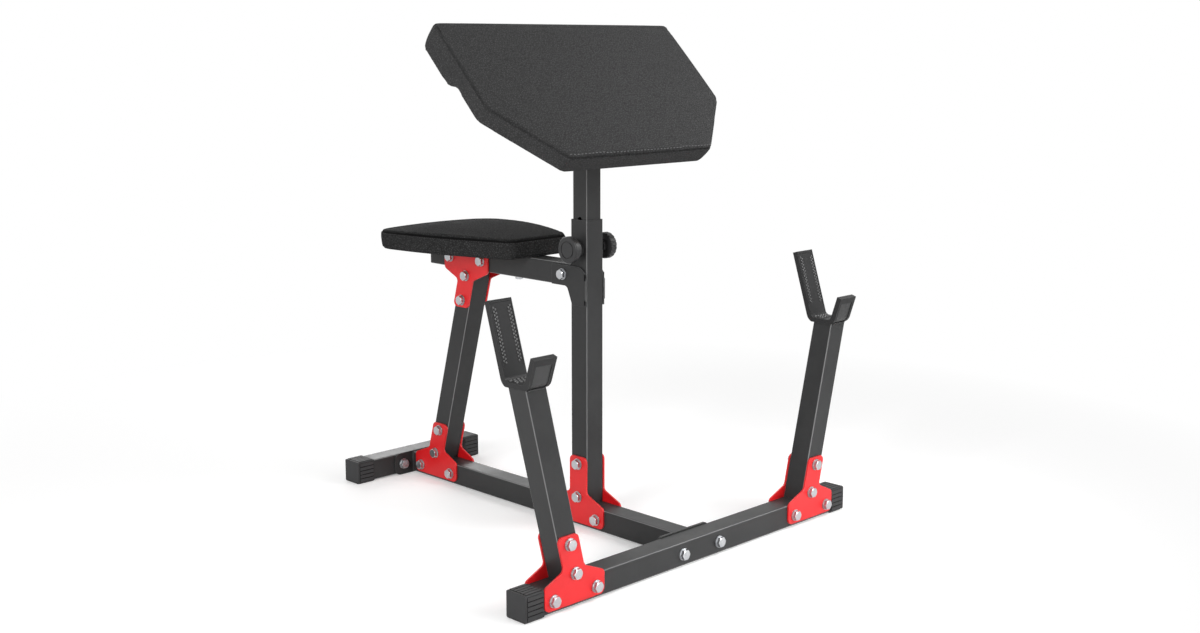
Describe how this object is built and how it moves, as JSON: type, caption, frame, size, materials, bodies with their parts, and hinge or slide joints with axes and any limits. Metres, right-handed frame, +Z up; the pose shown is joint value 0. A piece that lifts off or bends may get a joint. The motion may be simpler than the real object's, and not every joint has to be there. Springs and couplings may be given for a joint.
{
  "type": "preacher curl bench",
  "caption": "Free-standing bench for seated arm curls: square-tube frame, seat, sloped arm pad on a sliding post, and two leaning bar holders with lined hooks.",
  "frame": {"origin": "on the floor, under the middle of the bench's overall box", "axes": "+X along the front crossbar, +Y from the bar holders towards the seat and the user, +Z up"},
  "size_m": [0.79, 0.8314, 0.8855],
  "materials": {
    "frame_black": "satin",
    "gusset_red": "satin",
    "zinc": "satin",
    "cap_rubber": "matte",
    "knob_black": "satin",
    "liner_black": "matte",
    "arm_vinyl": "matte",
    "seat_vinyl": "matte",
    "plywood": "matte",
    "pin_steel": "satin",
    "tip_nylon": "satin"
  },
  "bodies": {
    "bench_frame": {"front_crossbar": "frame_black", "rear_foot_bar": "frame_black", "base_spine": "frame_black", "spine_front_flange": "frame_black", "spine_rear_flange": "frame_black", "main_post": "frame_black", "seat_bracket_left": "frame_black", "seat_bracket_right": "frame_black", "seat_leg": "frame_black", "seat_beam": "frame_black", "left_upright": "frame_black", "right_upright": "frame_black", "left_bar_hook": "frame_black", "right_bar_hook": "frame_black", "pull_pin_barrel": "frame_black", "post_gusset_left": "gusset_red", "post_gusset_right": "gusset_red", "leg_base_gusset_left": "gusset_red", "leg_base_gusset_right": "gusset_red", "leg_top_gusset_left": "gusset_red", "leg_top_gusset_right": "gusset_red", "left_upright_front_gusset": "gusset_red", "left_upright_rear_gusset": "gusset_red", "right_upright_front_gusset": "gusset_red", "right_upright_rear_gusset": "gusset_red", "front_cap_left": "cap_rubber", "front_cap_right": "cap_rubber", "rear_cap_left": "cap_rubber", "rear_cap_right": "cap_rubber", "front_flange_bolts": "zinc", "rear_flange_bolts": "zinc", "post_bolts": "zinc", "leg_base_bolts": "zinc", "leg_top_bolts": "zinc", "seat_bracket_bolt": "zinc", "left_upright_bolts": "zinc", "right_upright_bolts": "zinc", "frame_washers": "zinc", "frame_nuts": "zinc", "seat_screws": "zinc", "seat_inserts": "zinc", "seat_beam_plug": "knob_black", "seat_board": "plywood", "seat_pad": "seat_vinyl", "left_hook_liner": "liner_black", "right_hook_liner": "liner_black", "pull_pin_spring": "pin_steel", "clamp_nut": "frame_black"},
    "arm_rest": {"inner_post": "frame_black", "arm_mount_plate": "frame_black", "arm_mount_rib": "frame_black", "arm_pad_board": "plywood", "arm_pad": "arm_vinyl", "arm_pad_screws": "zinc", "arm_pad_inserts": "zinc"},
    "pull_pin": {"pull_pin_shaft": "pin_steel", "pull_pin_knob": "knob_black"},
    "clamp_foot": {"clamp_tip": "tip_nylon"},
    "clamp_handle": {"clamp_stud": "pin_steel", "clamp_knob": "knob_black"}
  },
  "joints": [
    {"name": "arm_rest_height", "type": "slide", "parent": "bench_frame", "child": "arm_rest", "axis": [0, 0, 1], "range_m": [-0.05, 0.1]},
    {"name": "pull_pin_slide", "type": "slide", "parent": "bench_frame", "child": "pull_pin", "axis": [-1, 0, 0], "range_m": [0, 0.01], "stiffness_N_per_m": 500, "springref_m": -0.01, "deforming": ["pull_pin_spring"]},
    {"name": "clamp_advance", "type": "slide", "parent": "bench_frame", "child": "clamp_foot", "axis": [1, 0, 0], "range_m": [0, 0.003]},
    {"name": "clamp_turn", "type": "hinge", "parent": "clamp_foot", "child": "clamp_handle", "pos_m": [0.045, -0.12225, 0.501], "axis": [1, 0, 0], "range_deg": [0, 720]}
  ],
  "couplings": [
    {"joint": "clamp_advance", "follows": "clamp_turn", "m_per_rad": 0.00023873}
  ]
}
